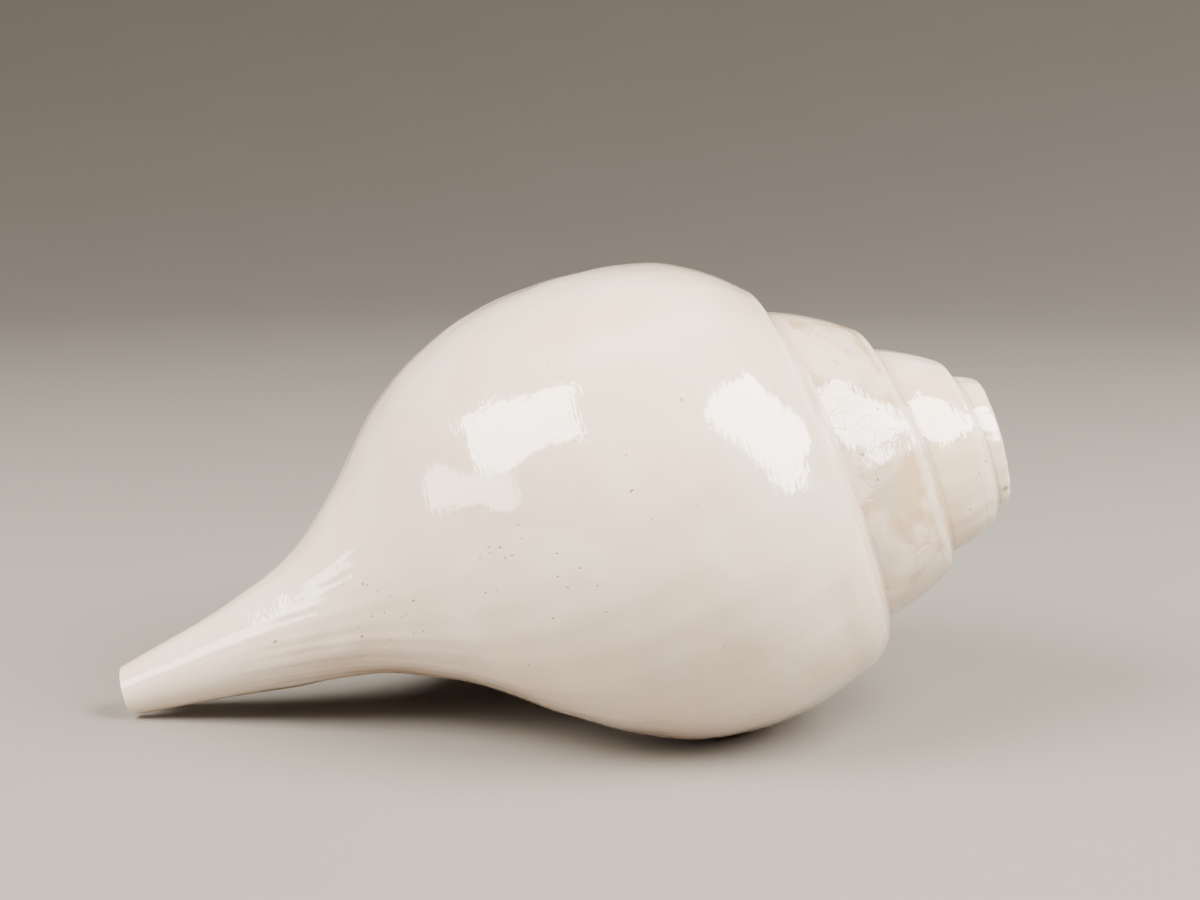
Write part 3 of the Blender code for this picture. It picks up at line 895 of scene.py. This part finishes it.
# Chank shell, aragonite, ground smooth and buffed by hand: milky warm white that glows a little,
# with a wet gloss that ripples and buffing strokes ruffle, and clouds in the older whorls.
# Sizes and heights are in millimetres.
finish = {
    "ivory": "#E5CFB8",
    # Milk is also the colour of the painted highlight along the shoulders
    "milk": "#EFE0D0",
    "cream": "#DFC295",
    "tan": "#C09F72",
    "grey": "#BFB29F",
    # The vein brown is also the colour of the painted shade in the sutures' creases
    "vein": "#A88C6E",
    "brown": "#7D4B20",
    "peach": "#E2BD9C",
    "deepPeach": "#C9957A",
    "ior": 1.68,
    "oil": 0.6,
    "oilRoughness": 0.06,
    "glow": 0.12,
    "glowReach": (2.6, 1.7, 1.1),
    "roughness": (0.085, 0.17),
    "insideRoughness": 0.26,
    "arcPerTurn": 130.0,  # round the body whorl, to a half turn
    "mottleSize": 26.0,
    "cloudSize": 13.0,
    "greyCloudSize": 16.25,
    "veinSize": 9.0,
    "veinWidth": 0.011,  # in the noise's own values, as the scratches' width is
    "rippleSize": 3.4,
    "rippleHeight": 0.09,
    "waveSize": 9.0,
    "waveHeight": 0.1,
    "growthLines": (0.012, 0.32, 1.0),  # to a millimetre along and round
    "strokeWidth": 0.6,
    "strokeLength": 5.0,
    "strokeHeight": 0.028,
    "scratchSize": 7.0,
    "scratchWidth": 0.006,
    "scratchHeight": 0.03,
    "pitEdge": (0.9, 0.3),  # in pit widths, from the shell round it to its full depth
    "pitWander": 1 / 1.3,
    "pitDepth": 0.12,
}
# Regions of the colouring, each between limits: fades in from, full, full, faded out
regions = {
    "creamBand": {"turn": (0.12, 0.17, 0.19, 0.24), "along": (88.0, 100.0, 114.0, 126.0)},
    "marble": {"turn": (1.85, 2.05, 2.7, 3.0), "inside": (-2.0, -1.0, 0.0, 0.5)},
    "olderMarble": {"turn": (4.0, 4.2, 4.7, 5.0), "inside": (-2.0, -1.0, 0.0, 0.5)},
    # A dark line along the foot of each whorl, in the suture's crease: painted shade
    "sutureShadeLine": {"fromFoot": (-1.0, 0.0, 0.5, 1.2)},
    # A pale band along each whorl's shoulder: painted highlight
    "paintedShoulderHighlight": {"fromEdge": (-1.0, 0.0, 0.6, 2.2)},
    "hollow": {"inside": (0.3, 0.9, 1.0, 2.0)},
}
# Where each noise starts to show and where it is full
noiseCuts = {
    "mottle": (0.42, 0.66),
    "cloud": (0.47, 0.58),
    "greyCloud": (0.5, 0.62),
    "growthLine": (0.52, 0.72),
    "stroke": (0.4, 0.7),
}
# Colours laid over the ivory one after another: where, how strongly, which
layers = (
    (("mottle",), 0.6, "milk"),
    (("growthLine",), 0.16, "cream"),
    (("creamBand",), 0.5, "cream"),
    (("marble", "cloud"), 0.7, "tan"),
    (("marble", "greyCloud"), 0.55, "grey"),
    (("olderMarble", "cloud"), 0.35, "cream"),
    (("marble", "vein"), 0.45, "vein"),
    # Milk over the shoulders: painted highlight
    (("paintedShoulderHighlight",), 0.6, "milk"),
    # Vein brown in the sutures' creases: painted shade
    (("sutureShadeLine",), 0.5, "vein"),
    (("hollow",), 0.85, "peach"),
    (("hollow", "mottle"), 0.5, "deepPeach"),
    (("pits",), 0.7, "brown"),
)


def regionMask(tree, read, limits):
    mask = None
    for name, (low, lowFull, highFull, high) in limits.items():
        for start, full in ((low, lowFull), (high, highFull)):
            ends = {"Value": read[name], "From Min": start, "From Max": full}
            side = addNode(tree, "ShaderNodeMapRange", ends, interpolation_type="SMOOTHSTEP")
            if mask is not None:
                side = addNode(tree, "ShaderNodeMath", {0: mask, 1: side}, operation="MULTIPLY")
            mask = side
    return mask


def shellFinish():
    made = bpy.data.materials.new("buffedChankShell")
    made.use_nodes = True
    tree = made.node_tree
    tree.nodes.clear()
    read = {name: addNode(tree, "ShaderNodeAttribute", attribute_name=name).outputs["Fac"]
            for name in ("along", "turn", "inside", "fromEdge", "fromFoot")}
    place = addNode(tree, "ShaderNodeTexCoord").outputs["Object"]
    arc = addNode(tree, "ShaderNodeMath", {0: read["turn"], 1: finish["arcPerTurn"]},
                  operation="MULTIPLY")
    grown = addNode(tree, "ShaderNodeCombineXYZ", {0: read["along"], 1: arc, 2: read["inside"]})
    strokeShape = (1 / finish["strokeWidth"], 1 / finish["strokeLength"], 1.0)
    strokePlace = addNode(tree, "ShaderNodeVectorMath", {0: grown, 1: strokeShape},
                          operation="MULTIPLY")
    linePlace = addNode(tree, "ShaderNodeVectorMath", {0: grown, 1: finish["growthLines"]},
                        operation="MULTIPLY")

    # Noises: on which coordinates, scale, detail, distortion
    fields = {
        "mottle": (place, 1000 / finish["mottleSize"], 2.0, 0.0),
        "cloud": (place, 1000 / finish["cloudSize"], 3.0, 0.8),
        "greyCloud": (place, 1000 / finish["greyCloudSize"], 2.0, 0.0),
        "vein": (place, 1000 / finish["veinSize"], 2.0, 0.7),
        "scratch": (place, 1000 / finish["scratchSize"], 1.0, 1.2),
        "wave": (place, 1000 / finish["waveSize"], 1.0, 0.0),
        "ripple": (place, 1000 / finish["rippleSize"], 2.0, 0.0),
        "stroke": (strokePlace, 1.0, 1.0, 0.0),
        "growthLine": (linePlace, 1.0, 2.0, 0.0),
        "wander": (place, 1000 / finish["pitWander"], 0.0, 0.0),
    }
    noise = {}
    for name, (where, scale, detail, twist) in fields.items():
        noise[name] = addNode(tree, "ShaderNodeTexNoise", {
            "Vector": where, "Scale": scale, "Detail": detail, "Distortion": twist})
    mask = {name: regionMask(tree, read, limits) for name, limits in regions.items()}
    shown = {name: (noise[name].outputs["Fac"], low, high) for name, (low, high) in noiseCuts.items()}
    # A vein or a scratch runs where its noise crosses the middle
    for name in ("vein", "scratch"):
        middle = addNode(tree, "ShaderNodeMath", {0: noise[name].outputs["Fac"], 1: 0.5},
                         operation="SUBTRACT")
        off = addNode(tree, "ShaderNodeMath", {0: middle}, operation="ABSOLUTE")
        shown[name] = (off, finish[name + "Width"], 0.0)
    # A pit's edge wanders as the noise takes it
    way = addNode(tree, "ShaderNodeAttribute", attribute_name="fromPit").outputs["Vector"]
    wander = addNode(tree, "ShaderNodeVectorMath", {0: noise["wander"].outputs["Color"], 1: way},
                     operation="ADD")
    away = addNode(tree, "ShaderNodeVectorMath", {0: wander, 1: (0.5, 0.5, 0.5)}, operation="DISTANCE")
    shown["pits"] = (away.outputs["Value"], *finish["pitEdge"])
    for name, (value, start, full) in shown.items():
        ends = {"Value": value, "From Min": start, "From Max": full}
        mask[name] = addNode(tree, "ShaderNodeMapRange", ends, interpolation_type="SMOOTHSTEP")

    colour = linear(finish["ivory"])
    for names, strength, shade in layers:
        amount = strength
        for name in names:
            amount = addNode(tree, "ShaderNodeMath", {0: mask[name], 1: amount}, operation="MULTIPLY")
        colour = addNode(tree, "ShaderNodeMix", {0: amount, 6: colour, 7: linear(finish[shade])},
                         data_type="RGBA").outputs[2]

    # Heights in millimetres, added up for one bump
    mask["marbleScratch"] = addNode(tree, "ShaderNodeMath", {0: mask["marble"], 1: mask["scratch"]},
                                    operation="MULTIPLY")
    heights = (
        (noise["wave"].outputs["Fac"], finish["waveHeight"]),
        (noise["ripple"].outputs["Fac"], finish["rippleHeight"]),
        (noise["stroke"].outputs["Fac"], finish["strokeHeight"]),
        (mask["marbleScratch"], -finish["scratchHeight"]),
        (mask["pits"], -finish["pitDepth"]),
    )
    height = 0.0
    for value, size in heights:
        height = addNode(tree, "ShaderNodeMath", {0: value, 1: size, 2: height},
                         operation="MULTIPLY_ADD")
    bump = addNode(tree, "ShaderNodeBump", {"Strength": 1.0, "Distance": mm, "Height": height})
    smoothest, dullest = finish["roughness"]
    rough = addNode(tree, "ShaderNodeMapRange", {
        "Value": mask["stroke"], "To Min": smoothest, "To Max": dullest})
    rough = addNode(tree, "ShaderNodeMix", {0: mask["hollow"], 2: rough, 3: finish["insideRoughness"]})
    shader = addNode(tree, "ShaderNodeBsdfPrincipled", {
        "Base Color": colour, "Roughness": rough, "IOR": finish["ior"], "Normal": bump,
        "Coat Weight": finish["oil"], "Coat Roughness": finish["oilRoughness"], "Coat Normal": bump,
        "Subsurface Weight": finish["glow"], "Subsurface Radius": finish["glowReach"],
        "Subsurface Scale": mm})
    addNode(tree, "ShaderNodeOutputMaterial", {"Surface": shader})
    return made


# Matt paper, pale and warm, curving up all round: faint cloudiness and no gloss
paper = {
    "colour": "#857F78",
    "dimmer": "#817B74",
    "cloudSize": 90.0,  # millimetres
    "roughness": 0.9,
    "ior": 1.45,
    "middle": 0.02,  # metres, as the rest
    "flatRadius": 0.8,
    "bend": 1.4,
    "height": 1.9,
    "corners": 96,
    "bendRows": 24,
}


def paperSweep():
    made = bpy.data.materials.new("mattPaperSweep")
    made.use_nodes = True
    tree = made.node_tree
    tree.nodes.clear()
    place = addNode(tree, "ShaderNodeTexCoord").outputs["Object"]
    cloud = addNode(tree, "ShaderNodeTexNoise", {
        "Vector": place, "Scale": 1000 / paper["cloudSize"], "Detail": 3.0})
    shades = {0: cloud.outputs["Fac"], 6: linear(paper["colour"]), 7: linear(paper["dimmer"])}
    colour = addNode(tree, "ShaderNodeMix", shades, data_type="RGBA")
    shader = addNode(tree, "ShaderNodeBsdfPrincipled", {
        "Base Color": colour, "Roughness": paper["roughness"], "IOR": paper["ior"]})
    addNode(tree, "ShaderNodeOutputMaterial", {"Surface": shader})

    # A round of corners for each row: radius, height
    rows = [(paper["middle"], 0.0), (paper["flatRadius"], 0.0)]
    for step in range(1, paper["bendRows"] + 1):
        turned = math.pi / 2 * step / paper["bendRows"]
        radius = paper["flatRadius"] + paper["bend"] * math.sin(turned)
        rows.append((radius, paper["bend"] * (1 - math.cos(turned))))
    rows.append((rows[-1][0], paper["height"]))
    count = paper["corners"]
    bearings = [2 * math.pi * k / count for k in range(count)]
    points = [(radius * math.cos(bearing), radius * math.sin(bearing), height)
              for radius, height in rows for bearing in bearings]
    faces = [tuple(range(count))]
    for low in range(0, count * (len(rows) - 1), count):
        high = low + count
        for k in range(count):
            beside = (k + 1) % count
            faces.append((low + k, high + k, high + beside, low + beside))
    mesh = bpy.data.meshes.new("paperSweep")
    mesh.from_pydata(points, [], faces)
    mesh.materials.append(made)
    mesh.shade_smooth()
    sweep = bpy.data.objects.new("paperSweep", mesh)
    bpy.context.scene.collection.objects.link(sweep)


# Two softboxes over the camera's shoulders, and a low strip that lights the canal: bearing and rise
# in degrees from the shell, distance, width and length in metres, turned in its own plane, swung
# away from the shell, and watts
softboxes = {
    "leftSoftbox": {"bearing": -61.0, "rise": 40.5, "away": 0.8, "size": (0.43, 0.57),
                    "turned": -38.0, "swung": 0.0, "watts": 20.0},
    "lowStrip": {"bearing": -70.0, "rise": 9.0, "away": 0.8, "size": (0.5, 0.2),
                 "turned": 8.0, "swung": 0.0, "watts": 3.4},
    "rightSoftbox": {"bearing": 67.0, "rise": 42.0, "away": 0.8, "size": (0.57, 0.57),
                     "turned": 45.0, "swung": -45.0, "watts": 30.0},
}
room = {"lampColour": "#FFFAF3", "colour": "#EFE4D6", "strength": 0.19, "aim": (0.0, 0.0, 0.05)}


def lightRoom():
    for name, box in softboxes.items():
        lamp = bpy.data.lights.new(name, "AREA")
        lamp.shape = "RECTANGLE"
        lamp.size, lamp.size_y = box["size"]
        lamp.energy = box["watts"]
        lamp.color = linear(room["lampColour"])[:3]
        light = bpy.data.objects.new(name, lamp)
        bpy.context.scene.collection.objects.link(light)
        bearing, rise = math.radians(box["bearing"]), math.radians(box["rise"])
        swung, turned = math.radians(box["swung"]), math.radians(box["turned"])
        level = math.cos(rise)
        towards = Vector((math.sin(bearing) * level, -math.cos(bearing) * level, math.sin(rise)))
        light.location = Vector(room["aim"]) + towards * box["away"]
        facing = towards.to_track_quat("Z", "Y").to_matrix()
        facing = Matrix.Rotation(swung, 3, "Z") @ facing @ Matrix.Rotation(turned, 3, "Z")
        light.rotation_euler = facing.to_euler()
    world = bpy.data.worlds.new("studioRoom")
    world.use_nodes = True
    backdrop = world.node_tree.nodes["Background"]
    backdrop.inputs["Color"].default_value = linear(room["colour"])
    backdrop.inputs["Strength"].default_value = room["strength"]
    bpy.context.scene.world = world


shell = growShell()
shell.data.materials.append(shellFinish())
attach(shell, "root")
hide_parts("conch_shell")
print("grown and finished")

paperSweep()
lightRoom()
view = {"lens": 60.0, "place": (0.00835, -0.3968, 0.1249), "tilt": math.radians(80.0)}
camera = bpy.data.objects.new("camera", bpy.data.cameras.new("camera"))
bpy.context.scene.collection.objects.link(camera)
camera.data.lens = view["lens"]
camera.location = view["place"]
camera.rotation_euler = (view["tilt"], 0.0, 0.0)
bpy.context.scene.camera = camera
print("lit")
